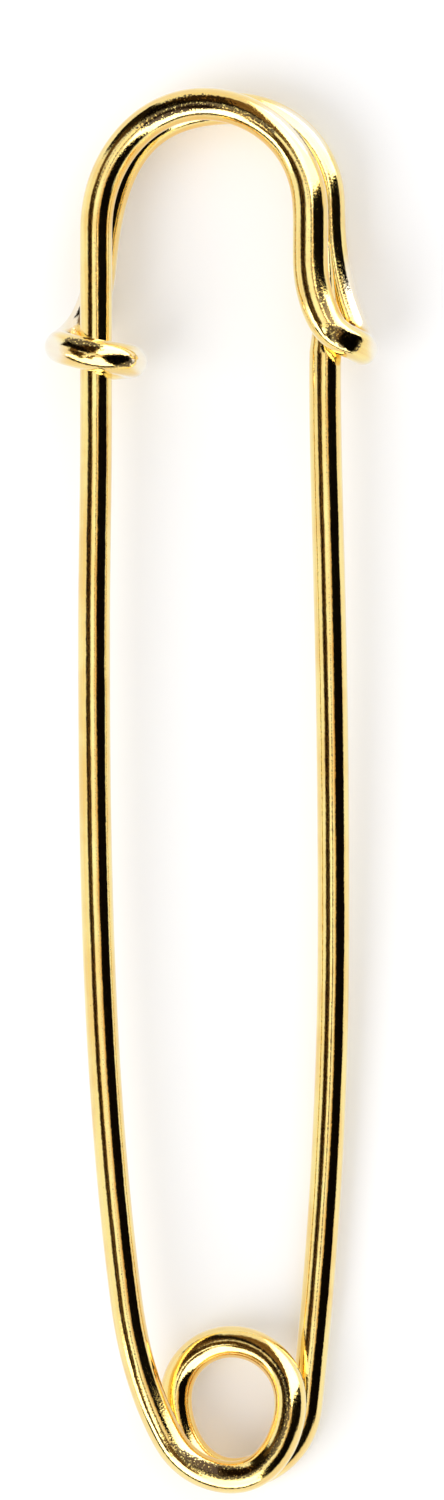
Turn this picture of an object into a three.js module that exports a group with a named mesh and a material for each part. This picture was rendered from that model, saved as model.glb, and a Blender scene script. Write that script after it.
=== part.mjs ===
// Kilt pin: one round wire bent into a pin arm, a coil spring, a back leg, an arch and a hooked catch,
// whose last end is wound once round the back leg.
// Units are millimetres. The pin lies on a table: +Y runs from the coil to the arch, +X from the back leg
// to the pin arm, and +Z is up, away from the table.
// The wire is modelled in the order in which it runs, from the sharp point to the wound end. Each stretch
// starts at the flat section where the one before it ends.
import * as THREE from "three";

// Wire and overall size
const WIRE_DIAMETER = 1.75;
const OVERALL_LENGTH = 76; // from the lowest edge of the coil to the top edge of the arch
const LEG_SPREAD = 12.41; // between the two legs at the catch, centre to centre
const LAYER_GAP = 0.45; // free space between the two turns of the spring
const CATCH_GAP = 0.2; // play of the pin arm in the catch, above and below it
const WRAP_GAP = 0.2; // play between the back leg and the end wound round it

// Spring
const COIL_RADIUS = 3.1; // upper half of the coil, on the wire's centre line
const COIL_DROP = 4.15; // from the coil's centre to the lowest point of its turns
const TAIL_RADIUS = 4; // arc between the pin arm and the coil
const LEAD_RADIUS = 3.94; // arc between the coil and the back leg

// Pin arm
const ARM_BOW = 0.46; // how far the arm stands out beyond its place in the catch
const POINT_LENGTH = 6;
const TIP_RADIUS = 0.12;

// Back leg
const LEG_BOW = 0.11; // how far the leg stands out beyond its place under the arch
const LEG_FOOT_INSET = 1.65; // how far the foot of the leg stands in from that place
const WRAP_DROP = 13.35; // from the arch's crown down to the left side of the wound end
const WRAP_PITCH = 1.19; // advance of the wound end in one turn

// Arch and catch, with drops measured down from the crown of the arch
const ARCH_RISE = 6.75; // left half of the arch
const SHOULDER_DROP = 5.88; // right half of the arch
const CATCH_INSET = 0.83; // from the pin arm in to the catch's upper wire
const CATCH_STRAIGHT_DROP = 8.48; // end of the catch's straight stretch
const HOOK_DROP = 13.19; // outermost point of the hook
const HOOK_REACH = 1.98; // from the pin arm out to the outermost point of the hook
const HOOK_UPPER_RUN = 1.52; // from the upper wire's end of the hook to its outermost point
const HOOK_LOWER_RUN = 1.62; // from there to the lower wire's end of the hook
const BACK_ARCH_RADIUS = 5.25; // right half of the lower arch
const BACK_ARCH_OFFSET = 0.24; // from the pin arm out to the right side of the lower arch
const WRAP_ENTRY_DROP = 8.64; // where the lower arch passes under the back leg
const WRAP_ENTRY_OFFSET = 0.2; // from the back leg in to the wire at that place

// Angles, in degrees
const ARM_ROOT_LEAN = 6.5; // outward lean of the pin arm where it leaves the spring
const POINT_LEAN = 1;
const LEAD_SWEEP = 60;
const LEG_ROOT_LEAN = 7.5; // outward lean of the back leg at its foot
const HOOK_UPPER_FALL = 25; // slope of the upper wire as it runs out to the hook
const HOOK_LOWER_LEAN = 21.7; // inward lean of the lower wire as it leaves the hook
const WRAP_ENTRY_LEAN = 5.1; // outward lean of the wire as it runs down to the wound end
const WRAP_SWEEP = 262; // from the left side of the wound end, over the leg, to the cut end under it

// Shares
const COIL_PLACE_SHARE = 0.403; // of the leg spread, from the coil's centre out to the pin arm
const ARM_BELLY_SHARE = 0.365; // of the height of the arch's crown over the coil
const LEG_FOOT_SHARE = 0.076;
const LEG_BELLY_SHARE = 0.592;
const LEG_TOP_SHARE = 0.756;
const CROWN_SHARE = 0.497; // of the arch's width, from the back leg to the crown
const EVEN_SHARE = 0.33; // length of a bend's handle, of the distance that it spans
const ARM_LONG_HANDLE_SHARE = 0.55;
const ARM_SHORT_HANDLE_SHARE = 0.2;
const CATCH_LONG_HANDLE_SHARE = 0.476;
const CATCH_SHORT_HANDLE_SHARE = 0.113;
const BACK_CATCH_HANDLE_SHARE = 0.4;
const BACK_ARCH_HANDLE_SHARES = [0.464, 0.489];
const WRAP_HANDLE_SHARES = [0.52, 0.36];
const COIL_CLIMB_SHARES = [0.24, 0.66]; // stretch of the coil in which it climbs from layer to layer

// Fineness of the model
const WIRE_SIDES = 16;
const LEG_STEP_SHARE = 2; // of the wire's diameter, along the legs
const BEND_STEP_SHARE = 0.4; // and along the bends
const TIP_STEPS = 3;
const GAP_SAMPLES = 240;

// Levels of the wire's centre line
const wireRadius = WIRE_DIAMETER / 2;
const floorLevel = wireRadius;
const layerLevel = floorLevel + WIRE_DIAMETER + LAYER_GAP;
const pinLevel = floorLevel + WIRE_DIAMETER + CATCH_GAP;
const catchLevel = pinLevel + WIRE_DIAMETER + CATCH_GAP;

// Places shared by several stretches, measured from the coil's centre
const crownHeight = OVERALL_LENGTH - COIL_DROP - WIRE_DIAMETER;
const pinX = LEG_SPREAD * COIL_PLACE_SHARE;
const legX = pinX - LEG_SPREAD;
const catchX = pinX - CATCH_INSET;
const crownX = legX + (catchX - legX) * CROWN_SHARE;
const wrapRadius = WIRE_DIAMETER + WRAP_GAP;

// Directions
const UP = new THREE.Vector3(0, 0, 1);

// The direction of a wire that runs towards the arch and leans outward by some degrees.
function leaning(degrees) {
  const angle = THREE.MathUtils.degToRad(degrees);
  return new THREE.Vector3(Math.sin(angle), Math.cos(angle), 0);
}

// A station of the wire: a place and the direction in which the wire passes it.
function station(x, y, z, along) {
  return { place: new THREE.Vector3(x, y, z), along: along.clone() };
}

// A circular arc in the plane of the table. A positive sweep turns left.
class Arc extends THREE.Curve {
  constructor(from, radius, sweepDegrees) {
    super();
    this.sweep = THREE.MathUtils.degToRad(sweepDegrees);
    this.arm = UP.clone().cross(from.along).multiplyScalar(-radius * Math.sign(this.sweep));
    this.centre = from.place.clone().sub(this.arm);
  }

  getPoint(t, target = new THREE.Vector3()) {
    return target.copy(this.arm).applyAxisAngle(UP, this.sweep * t).add(this.centre);
  }
}

// A quarter of an ellipse that leaves a station along its direction and ends square to it.
class QuarterTurn extends THREE.Curve {
  constructor(from, end) {
    super();
    const whole = end.clone().sub(from.place);
    this.start = from.place.clone();
    this.first = from.along.clone().multiplyScalar(whole.dot(from.along));
    this.second = whole.sub(this.first);
  }

  getPoint(t, target = new THREE.Vector3()) {
    const angle = (t * Math.PI) / 2;
    target.copy(this.start).addScaledVector(this.first, Math.sin(angle));
    return target.addScaledVector(this.second, 1 - Math.cos(angle));
  }
}

// A path in the plane of the table that climbs from one level to another between two shares of its length.
class Climb extends THREE.Curve {
  constructor(flatPath, fromLevel, toLevel, shares = [0, 1]) {
    super();
    this.flatPath = flatPath;
    this.levels = [fromLevel, toLevel];
    this.shares = shares;
  }

  getPoint(t, target = new THREE.Vector3()) {
    target.copy(this.flatPath.getPoint(t));
    target.z = THREE.MathUtils.lerp(...this.levels, THREE.MathUtils.smoothstep(t, ...this.shares));
    return target;
  }
}

// A winding round an axis that runs along Y. It starts at the left side and rises over the axis.
class Winding extends THREE.Curve {
  constructor(centre, radius, sweepDegrees, pitch) {
    super();
    this.centre = centre;
    this.radius = radius;
    this.sweep = THREE.MathUtils.degToRad(sweepDegrees);
    this.advance = (pitch * sweepDegrees) / 360;
  }

  getPoint(t, target = new THREE.Vector3()) {
    const angle = this.sweep * t;
    target.set(-Math.cos(angle) * this.radius, -this.advance * t, Math.sin(angle) * this.radius);
    return target.add(this.centre);
  }
}

// A smooth bend between two stations, with handles that are shares of the distance between them.
function bend(from, to, fromShare, toShare) {
  const span = from.place.distanceTo(to.place);
  return new THREE.CubicBezierCurve3(
    from.place,
    from.place.clone().addScaledVector(from.along, span * fromShare),
    to.place.clone().addScaledVector(to.along, -span * toShare),
    to.place,
  );
}

function straight(from, to) {
  return new THREE.LineCurve3(from.place, to.place);
}

function pathOf(...curves) {
  const path = new THREE.CurvePath();
  curves.forEach((curve) => path.add(curve));
  return path;
}

// The wire's section, a regular polygon that measures the wire's diameter between opposite flats.
function wireSection() {
  const corner = wireRadius / Math.cos(Math.PI / WIRE_SIDES);
  const section = new THREE.Shape();
  for (let side = 0; side < WIRE_SIDES; side++) {
    const angle = ((side + 0.5) * 2 * Math.PI) / WIRE_SIDES;
    const [x, y] = [corner * Math.cos(angle), corner * Math.sin(angle)];
    if (side === 0) section.moveTo(x, y);
    else section.lineTo(x, y);
  }
  section.closePath();
  return section;
}

function plating() {
  return new THREE.MeshStandardMaterial({ color: 0xe0b050, roughness: 0.16, metalness: 1 });
}

// A stretch of wire along a path.
function wire(name, path, stepShare) {
  const steps = Math.ceil(path.getLength() / (WIRE_DIAMETER * stepShare));
  const geometry = new THREE.ExtrudeGeometry(wireSection(), {
    steps,
    extrudePath: path,
    bevelEnabled: false,
  });
  const mesh = new THREE.Mesh(geometry, plating());
  mesh.name = name;
  return mesh;
}

// The least gap of a wound stretch to itself, between points that lie more than a half turn apart.
function leastGap(path, turnRadius) {
  const points = path.getSpacedPoints(GAP_SAMPLES);
  const apart = Math.ceil((Math.PI * turnRadius * GAP_SAMPLES) / path.getLength());
  let least = Infinity;
  points.forEach((point, index) => {
    points.slice(index + apart).forEach((other) => {
      least = Math.min(least, point.distanceTo(other));
    });
  });
  return least - WIRE_DIAMETER;
}

const down = leaning(180);

// Stations from the point to the spring
const armEnd = station(pinX, crownHeight - WRAP_DROP, pinLevel, leaning(POINT_LEAN));
const armBelly = station(pinX + ARM_BOW, crownHeight * ARM_BELLY_SHARE, 0, leaning(0));
const coilFloor = station(0, -COIL_DROP, floorLevel, leaning(90));
const tailArc = new Arc(coilFloor, TAIL_RADIUS, 90 - ARM_ROOT_LEAN);
const armRoot = { place: tailArc.getPoint(1), along: leaning(ARM_ROOT_LEAN) };

// The ground point, a cone with a small round tip.
function pinPoint() {
  const corner = wireRadius / Math.cos(Math.PI / WIRE_SIDES);
  const taper = Math.atan((corner - TIP_RADIUS) / POINT_LENGTH);
  const profile = [new THREE.Vector2(0, 0), new THREE.Vector2(corner, 0)];
  for (let step = 0; step <= TIP_STEPS; step++) {
    const angle = THREE.MathUtils.lerp(taper, Math.PI / 2, step / TIP_STEPS);
    const across = step === TIP_STEPS ? 0 : TIP_RADIUS * Math.cos(angle);
    profile.push(new THREE.Vector2(across, POINT_LENGTH - TIP_RADIUS + TIP_RADIUS * Math.sin(angle)));
  }
  const geometry = new THREE.LatheGeometry(profile, WIRE_SIDES, Math.PI / WIRE_SIDES);
  const mesh = new THREE.Mesh(geometry, plating());
  mesh.name = "pin_point";
  mesh.position.copy(armEnd.place);
  mesh.rotation.z = -THREE.MathUtils.degToRad(POINT_LEAN);
  return mesh;
}

// The pin arm bows outward and climbs from the spring's lower layer to its place in the catch.
function pinArm() {
  const flatRoot = station(armRoot.place.x, armRoot.place.y, 0, armRoot.along);
  const flatEnd = station(armEnd.place.x, armEnd.place.y, 0, armEnd.along);
  const path = pathOf(
    bend(flatRoot, armBelly, EVEN_SHARE, EVEN_SHARE),
    bend(armBelly, flatEnd, ARM_LONG_HANDLE_SHARE, ARM_SHORT_HANDLE_SHARE),
  );
  return wire("pin_arm", new Climb(path, floorLevel, pinLevel), LEG_STEP_SHARE);
}

// The arc that carries the pin arm, and winds and unwinds as the pin opens.
function springTail() {
  return wire("spring_tail", tailArc, BEND_STEP_SHARE);
}

// Stations of the coil
const coilLeft = station(-COIL_RADIUS, 0, 0, leaning(0));
const coilTop = station(0, COIL_RADIUS, 0, leaning(90));
const coilRight = station(COIL_RADIUS, 0, 0, down);
const coilBottom = station(0, -COIL_DROP, 0, leaning(-90));
const leadArc = new Arc(coilBottom, LEAD_RADIUS, -LEAD_SWEEP);
const leadEnd = { place: leadArc.getPoint(1), along: leaning(LEAD_SWEEP - 90) };
const legFoot = station(
  legX + LEG_FOOT_INSET,
  crownHeight * LEG_FOOT_SHARE,
  0,
  leaning(-LEG_ROOT_LEAN),
);

// One unbroken tube: a full turn from the lower layer to the upper one, and the arc to the back leg.
function springCoil() {
  const path = pathOf(
    new QuarterTurn(coilBottom, coilLeft.place),
    new QuarterTurn(coilLeft, coilTop.place),
    new QuarterTurn(coilTop, coilRight.place),
    new QuarterTurn(coilRight, coilBottom.place),
    leadArc,
  );
  const climb = new Climb(path, floorLevel, layerLevel, COIL_CLIMB_SHARES);
  const gap = leastGap(climb, COIL_RADIUS);
  console.log(`least gap of the spring coil to itself: ${gap.toFixed(2)} mm`);
  return wire("spring_coil", climb, BEND_STEP_SHARE);
}

// Stations of the back leg
const legBelly = station(legX - LEG_BOW, crownHeight * LEG_BELLY_SHARE, 0, leaning(0));
const legTop = station(legX, crownHeight * LEG_TOP_SHARE, 0, leaning(0));
const archStart = station(legX, crownHeight - ARCH_RISE, 0, leaning(0));

// The bend that eases the spring's arc into the back leg.
function legFootBend() {
  const path = bend(leadEnd, legFoot, EVEN_SHARE, EVEN_SHARE);
  return wire("leg_foot", new Climb(path, layerLevel, layerLevel), BEND_STEP_SHARE);
}

function backLeg() {
  const path = pathOf(
    bend(legFoot, legBelly, EVEN_SHARE, EVEN_SHARE),
    bend(legBelly, legTop, EVEN_SHARE, EVEN_SHARE),
    straight(legTop, archStart),
  );
  return wire("back_leg", new Climb(path, layerLevel, layerLevel), LEG_STEP_SHARE);
}

// Stations of the upper arch and the catch
const crown = station(crownX, crownHeight, 0, leaning(90));
const archEnd = station(catchX, crownHeight - SHOULDER_DROP, 0, down);
const catchTop = station(catchX, crownHeight - SHOULDER_DROP, catchLevel, down);
const catchStraightEnd = station(catchX, crownHeight - CATCH_STRAIGHT_DROP, catchLevel, down);
const hookTip = station(
  pinX + HOOK_REACH,
  crownHeight - HOOK_DROP,
  (floorLevel + catchLevel) / 2,
  UP.clone().negate(),
);
const hookUpper = { along: leaning(90 + HOOK_UPPER_FALL) };
hookUpper.place = hookTip.place.clone().addScaledVector(hookUpper.along, -HOOK_UPPER_RUN);
hookUpper.place.z = catchLevel;
const hookLower = { along: leaning(-HOOK_LOWER_LEAN) };
hookLower.place = hookTip.place.clone().addScaledVector(hookLower.along, HOOK_LOWER_RUN);
hookLower.place.z = floorLevel;

function frontArch() {
  const path = pathOf(
    new QuarterTurn(archStart, crown.place),
    new QuarterTurn(crown, archEnd.place),
  );
  return wire("front_arch", new Climb(path, layerLevel, catchLevel), BEND_STEP_SHARE);
}

// The catch's upper wire covers the point and crosses over the pin arm to the hook.
function catchFront() {
  const path = pathOf(
    straight(catchTop, catchStraightEnd),
    bend(catchStraightEnd, hookUpper, CATCH_LONG_HANDLE_SHARE, CATCH_SHORT_HANDLE_SHARE),
  );
  return wire("catch_front", path, BEND_STEP_SHARE);
}

// The hook turns down past the outer side of the pin arm and back under it.
function catchBend() {
  const path = pathOf(
    new QuarterTurn(hookUpper, hookTip.place),
    new QuarterTurn(hookTip, hookLower.place),
  );
  return wire("catch_bend", path, BEND_STEP_SHARE);
}

// Stations of the lower arch
const backArchX = pinX + BACK_ARCH_OFFSET;
const backArchStart = station(
  backArchX,
  crownHeight - BACK_ARCH_RADIUS,
  floorLevel,
  leaning(0),
);
const backCrown = station(
  backArchX - BACK_ARCH_RADIUS,
  crownHeight,
  floorLevel,
  leaning(-90),
);
const wrapEntry = station(
  legX + WRAP_ENTRY_OFFSET,
  crownHeight - WRAP_ENTRY_DROP,
  floorLevel,
  leaning(180 + WRAP_ENTRY_LEAN),
);

function catchBack() {
  const path = bend(hookLower, backArchStart, EVEN_SHARE, BACK_CATCH_HANDLE_SHARE);
  return wire("catch_back", path, BEND_STEP_SHARE);
}

function backArch() {
  const path = pathOf(
    new QuarterTurn(backArchStart, backCrown.place),
    bend(backCrown, wrapEntry, ...BACK_ARCH_HANDLE_SHARES),
  );
  return wire("back_arch", path, BEND_STEP_SHARE);
}

// One unbroken tube: it passes under the back leg, rises at its left side and winds over and round it.
function legWrap() {
  const wrapCentre = new THREE.Vector3(legX, crownHeight - WRAP_DROP, layerLevel);
  const winding = new Winding(wrapCentre, wrapRadius, WRAP_SWEEP, WRAP_PITCH);
  const windingStart = { place: winding.getPoint(0), along: winding.getTangent(0) };
  const path = pathOf(bend(wrapEntry, windingStart, ...WRAP_HANDLE_SHARES), winding);
  const gap = leastGap(path, wrapRadius);
  console.log(`least gap of the wound end to itself: ${gap.toFixed(2)} mm`);
  return wire("leg_wrap", path, BEND_STEP_SHARE);
}

// The pin in one group, with its origin under the middle of its length and width, on the table.
const kiltPin = new THREE.Group();
kiltPin.name = "kilt_pin";
kiltPin.add(
  pinPoint(),
  pinArm(),
  springTail(),
  springCoil(),
  legFootBend(),
  backLeg(),
  frontArch(),
  catchFront(),
  catchBend(),
  catchBack(),
  backArch(),
  legWrap(),
);
const bounds = new THREE.Box3().setFromObject(kiltPin);
const middle = bounds.getCenter(new THREE.Vector3());
kiltPin.position.set(-middle.x, -middle.y, -bounds.min.z);

export default kiltPin;
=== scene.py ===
"""Kilt pin: one gold-plated wire, bent from its sharp point round to its wound end.

The sizes are those of the solids, in millimetres from the centre of the spring coil, and become
metres when a piece is made. Leans and sweeps are in degrees. The wire is worked out once, as a
single line, and cut into the stretches that meet end to end.
"""

import math

import bpy
import numpy as np
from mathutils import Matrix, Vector


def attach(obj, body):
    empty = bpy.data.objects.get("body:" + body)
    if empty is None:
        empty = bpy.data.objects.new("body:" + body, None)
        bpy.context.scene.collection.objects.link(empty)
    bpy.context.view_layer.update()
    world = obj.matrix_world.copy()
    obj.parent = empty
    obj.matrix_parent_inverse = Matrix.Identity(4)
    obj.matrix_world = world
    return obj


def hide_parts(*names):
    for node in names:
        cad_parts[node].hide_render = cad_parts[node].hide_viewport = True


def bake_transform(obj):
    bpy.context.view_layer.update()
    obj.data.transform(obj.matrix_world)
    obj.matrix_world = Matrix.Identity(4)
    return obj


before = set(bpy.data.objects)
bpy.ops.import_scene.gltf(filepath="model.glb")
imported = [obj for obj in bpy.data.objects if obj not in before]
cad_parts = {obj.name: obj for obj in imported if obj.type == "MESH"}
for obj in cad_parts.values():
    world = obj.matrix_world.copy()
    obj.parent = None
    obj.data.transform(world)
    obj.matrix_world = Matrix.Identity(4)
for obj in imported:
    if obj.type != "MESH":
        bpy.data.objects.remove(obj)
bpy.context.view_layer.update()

MM = 0.001
COIL_CENTRE = np.array([1.1937, -32.9702, 0.0046])  # in the frame of the solids
TINY = 1e-9  # keeps a division away from zero

# Wire and overall size
WIRE_DIAMETER = 1.75
OVERALL_LENGTH = 76
LEG_SPREAD = 12.41
ARM_SIDE_SHARE = 0.403  # of that spread, from the coil's centre out to the arm
LAYER_GAP = 0.45
CATCH_GAP = 0.2
WRAP_GAP = 0.16

# Spring
COIL_RADIUS = 3.1
COIL_DROP = 4.15
TAIL_RADIUS = 4
LEAD_RADIUS = 3.94
LEAD_SWEEP = 60
COIL_CLIMB = (0.24, 0.66)  # shares of the coil's length

# Pin arm
ARM_BOW = 0.46
ARM_BELLY = 0.365  # share of the crown's height
ARM_ROOT_LEAN = 6.5
ARM_HANDLES = (0.55, 0.2)
ARM_FLEX_LENGTH = 12  # from its root, where the arm springs sideways
POINT_LEAN = 1
POINT_LENGTH = 6
TIP_RADIUS = 0.12

# Back leg: the foot, belly and top are shares of the crown's height
LEG_BOW = 0.11
LEG_FOOT_INSET = 1.65
LEG_FOOT = 0.076
LEG_BELLY = 0.592
LEG_TOP = 0.756
LEG_ROOT_LEAN = 7.5

# Arch, catch and hook
ARCH_RISE = 6.75
CROWN_SHARE = 0.497  # of the way from the leg to the catch
SHOULDER_DROP = 5.88
CATCH_INSET = 0.83
CATCH_STRAIGHT_DROP = 8.48
CATCH_HANDLES = (0.476, 0.113)
HOOK_DROP = 13.19
HOOK_REACH = 1.98
HOOK_UPPER_RUN = 1.52
HOOK_LOWER_RUN = 1.62
HOOK_UPPER_FALL = 25
HOOK_LOWER_LEAN = 21.7
BACK_ARCH_RADIUS = 5.25
BACK_ARCH_OFFSET = 0.24
BACK_CATCH_HANDLES = (0.33, 0.4)
BACK_ARCH_HANDLES = (0.464, 0.489)

# Wound end
WRAP_DROP = 13.35
WRAP_ENTRY_DROP = 8.64
WRAP_ENTRY_OFFSET = 0.2
WRAP_ENTRY_LEAN = 5.1
WRAP_HANDLES = (0.66, 0.34)
WRAP_SWEEP = 262
WRAP_PITCH = 1.19
WRAP_EARLY_RISE = 0.3  # how much nearer to the arch the turn starts
WRAP_EARLY_SHARE = 0.4  # share of the turn over which that fades
WRAP_LEVEL_OUT = 0.3  # share of its advance that the turn gives up by its end
WRAP_LEVEL_FROM = 0.55  # share of the turn where that starts
CUT_EDGE = 0.22  # rounded rim of the cut end

EVEN = (0.33, 0.33)  # handles of a plain bend

# The catch's upper wire, pressed broad and low from just before it to just past it
PRESSED_WIDTH = 1.10
PRESSED_HEIGHT = 0.93
PRESSED_LEAD_IN = 4.5
PRESSED_PAST_END = 0.6
PRESSED_LEAD_OUT = 2.6

# The hook's upper side, beaten flat where it was bent over the jaws
FLAT_LEVEL = 0.86  # share of the wire's radius
FLAT_EDGE = 0.24
FLAT_BEFORE = 1.1
FLAT_LEAD_IN = 1.0
FLAT_AFTER = 2.4
FLAT_LEAD_OUT = 1.2

# Marks that bending leaves on the wire
BENT_SPREAD = 23  # rings over which they spread
BENT_GAIN = 3.2  # radius of the gentlest bend that counts as fully worked

# How finely the wire is drawn
LINE_STEPS = 240  # in each part of a stretch's line
RING_STEP = 0.15
SIDES = 72
EASING = 0.6  # length over which one bend eases into the next
END_RINGS = (0.01, 0.025, 0.05, 0.08, 0.11, 0.18, 0.21)  # extra rings, from each end
LEAST_GIRTH = 0.004  # of a ring, as a share of the full one
FACE_CORNERS = 4  # of a face on the wire's side

# Levels of the wire's centre line
RADIUS = WIRE_DIAMETER / 2
FLOOR_LEVEL = RADIUS
LAYER_LEVEL = FLOOR_LEVEL + WIRE_DIAMETER + LAYER_GAP
PIN_LEVEL = FLOOR_LEVEL + WIRE_DIAMETER + CATCH_GAP
CATCH_LEVEL = PIN_LEVEL + WIRE_DIAMETER + CATCH_GAP

# Places shared by several stretches
CROWN = OVERALL_LENGTH - COIL_DROP - WIRE_DIAMETER
PIN_X = LEG_SPREAD * ARM_SIDE_SHARE
LEG_X = PIN_X - LEG_SPREAD
CATCH_X = PIN_X - CATCH_INSET

# Camera, straight above the pin
PHOTO_SIZE = (444, 1500)
PHOTO_LENGTH = 1404.5  # of the pin's outline, in the photograph's points
PHOTO_SCALE = OVERALL_LENGTH / PHOTO_LENGTH  # millimetres for each point
CAMERA_HEIGHT = 450
VIEW_CENTRE = (0.60, 2.24)
SENSOR = 36


def overhead_camera():
    data = bpy.data.cameras.new("overhead_camera")
    data.sensor_width = SENSOR
    data.lens = SENSOR * (CAMERA_HEIGHT - LAYER_LEVEL) / (PHOTO_SIZE[1] * PHOTO_SCALE)
    camera = bpy.data.objects.new("overhead_camera", data)
    camera.location = Vector((*VIEW_CENTRE, CAMERA_HEIGHT)) * MM
    bpy.context.scene.collection.objects.link(camera)
    bpy.context.scene.camera = camera


overhead_camera()

# The line of the wire

SHARES = np.linspace(0, 1, LINE_STEPS + 1)[:, None]


def leaning(degrees):
    """Direction of a wire that runs towards the arch and leans outward."""
    angle = math.radians(degrees)
    return np.array([math.sin(angle), math.cos(angle), 0.0])


def place(x, y, z=0.0):
    return np.array([x, y, z], float)


def arc(start, along, radius, sweep):
    """A circular arc in the plane of the table. A positive sweep turns left."""
    centre = start + np.array([-along[1], along[0], 0.0]) * math.copysign(radius, sweep)
    arm = start - centre
    angle = math.radians(sweep) * SHARES
    x = arm[0] * np.cos(angle) - arm[1] * np.sin(angle)
    y = arm[0] * np.sin(angle) + arm[1] * np.cos(angle)
    return centre + np.hstack([x, y, np.full_like(angle, arm[2])])


def quarter_turn(start, along, end):
    """A quarter of an ellipse that leaves along a direction and ends square to it."""
    whole = end - start
    first = along * np.dot(whole, along)
    angle = SHARES * math.pi / 2
    return start + np.sin(angle) * first + (1 - np.cos(angle)) * (whole - first)


def bend(start, along, end, end_along, handles=EVEN):
    """A smooth bend, with handles that are shares of the distance it spans."""
    span = np.linalg.norm(end - start)
    first, second = start + along * span * handles[0], end - end_along * span * handles[1]
    t, rest = SHARES, 1 - SHARES
    return rest**3 * start + 3 * rest**2 * t * first + 3 * rest * t**2 * second + t**3 * end


def straight(start, end):
    return start + (end - start) * SHARES


def joined(*runs):
    return np.vstack([runs[0], *(run[1:] for run in runs[1:])])


def lengths_along(line):
    return np.concatenate([[0], np.cumsum(np.linalg.norm(np.diff(line, axis=0), axis=1))])


def smooth_step(share):
    share = np.clip(share, 0, 1)
    return share * share * (3 - 2 * share)


def climbing(line, low, high, shares=(0, 1)):
    """The line, raised from one level to another between two shares of its length."""
    first, last = shares
    flat = line * [1, 1, 0]
    along = lengths_along(flat)
    flat[:, 2] = low + (high - low) * smooth_step((along / along[-1] - first) / (last - first))
    return flat


DOWN = leaning(180)


def spring_lines():
    """The arc that carries the arm, and the coil's two halves with the lead to the back leg."""
    floor = place(0, -COIL_DROP, FLOOR_LEVEL)
    tail = arc(floor, leaning(90), TAIL_RADIUS, 90 - ARM_ROOT_LEAN)
    left, top = place(-COIL_RADIUS, 0), place(0, COIL_RADIUS)
    right, bottom = place(COIL_RADIUS, 0), place(0, -COIL_DROP)
    first_half = joined(
        quarter_turn(bottom, leaning(-90), left),
        quarter_turn(left, leaning(0), top),
    )
    second_half = joined(
        quarter_turn(top, leaning(90), right),
        quarter_turn(right, DOWN, bottom),
        arc(bottom, leaning(-90), LEAD_RADIUS, -LEAD_SWEEP),
    )
    coil = climbing(joined(first_half, second_half), FLOOR_LEVEL, LAYER_LEVEL, COIL_CLIMB)
    return tail, coil[: len(first_half)], coil[len(first_half) - 1 :]


def arm_lines(root):
    """The point, and the arm from its place in the catch down to the spring."""
    root = root * [1, 1, 0]
    belly = place(PIN_X + ARM_BOW, CROWN * ARM_BELLY)
    end = place(PIN_X, CROWN - WRAP_DROP)
    arm = joined(
        bend(root, leaning(ARM_ROOT_LEAN), belly, leaning(0)),
        bend(belly, leaning(0), end, leaning(POINT_LEAN), ARM_HANDLES),
    )
    arm = climbing(arm, FLOOR_LEVEL, PIN_LEVEL)
    point = straight(arm[-1], arm[-1] + leaning(POINT_LEAN) * POINT_LENGTH)
    return point[::-1], arm[::-1]


def leg_lines(lead_end):
    """The foot bend and the back leg, up to the start of the arch."""
    foot = place(LEG_X + LEG_FOOT_INSET, CROWN * LEG_FOOT)
    belly = place(LEG_X - LEG_BOW, CROWN * LEG_BELLY)
    top = place(LEG_X, CROWN * LEG_TOP)
    arch_start = place(LEG_X, CROWN - ARCH_RISE)
    lead_along, leg_along = leaning(LEAD_SWEEP - 90), leaning(-LEG_ROOT_LEAN)
    foot_bend = bend(lead_end * [1, 1, 0], lead_along, foot, leg_along)
    leg = joined(
        bend(foot, leg_along, belly, leaning(0)),
        bend(belly, leaning(0), top, leaning(0)),
        straight(top, arch_start),
    )
    level = place(0, 0, LAYER_LEVEL)
    return foot_bend + level, leg + level


def catch_lines(arch_start):
    """The upper arch, the catch's upper wire, the hook and the catch's lower wire."""
    crown = place(LEG_X + (CATCH_X - LEG_X) * CROWN_SHARE, CROWN)
    arch_end = place(CATCH_X, CROWN - SHOULDER_DROP)
    arch = joined(
        quarter_turn(arch_start * [1, 1, 0], leaning(0), crown),
        quarter_turn(crown, leaning(90), arch_end),
    )
    arch = climbing(arch, LAYER_LEVEL, CATCH_LEVEL)
    straight_end = place(CATCH_X, CROWN - CATCH_STRAIGHT_DROP, CATCH_LEVEL)
    hook_tip = place(PIN_X + HOOK_REACH, CROWN - HOOK_DROP, (FLOOR_LEVEL + CATCH_LEVEL) / 2)
    falling, rising = leaning(90 + HOOK_UPPER_FALL), leaning(-HOOK_LOWER_LEAN)
    upper = (hook_tip - falling * HOOK_UPPER_RUN) * [1, 1, 0] + [0, 0, CATCH_LEVEL]
    lower = (hook_tip + rising * HOOK_LOWER_RUN) * [1, 1, 0] + [0, 0, FLOOR_LEVEL]
    cover = joined(
        straight(arch[-1], straight_end),
        bend(straight_end, DOWN, upper, falling, CATCH_HANDLES),
    )
    hook = joined(
        quarter_turn(upper, falling, hook_tip),
        quarter_turn(hook_tip, place(0, 0, -1), lower),
    )
    back_start = place(PIN_X + BACK_ARCH_OFFSET, CROWN - BACK_ARCH_RADIUS, FLOOR_LEVEL)
    catch_return = bend(lower, rising, back_start, leaning(0), BACK_CATCH_HANDLES)
    return arch, cover, hook, catch_return


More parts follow.
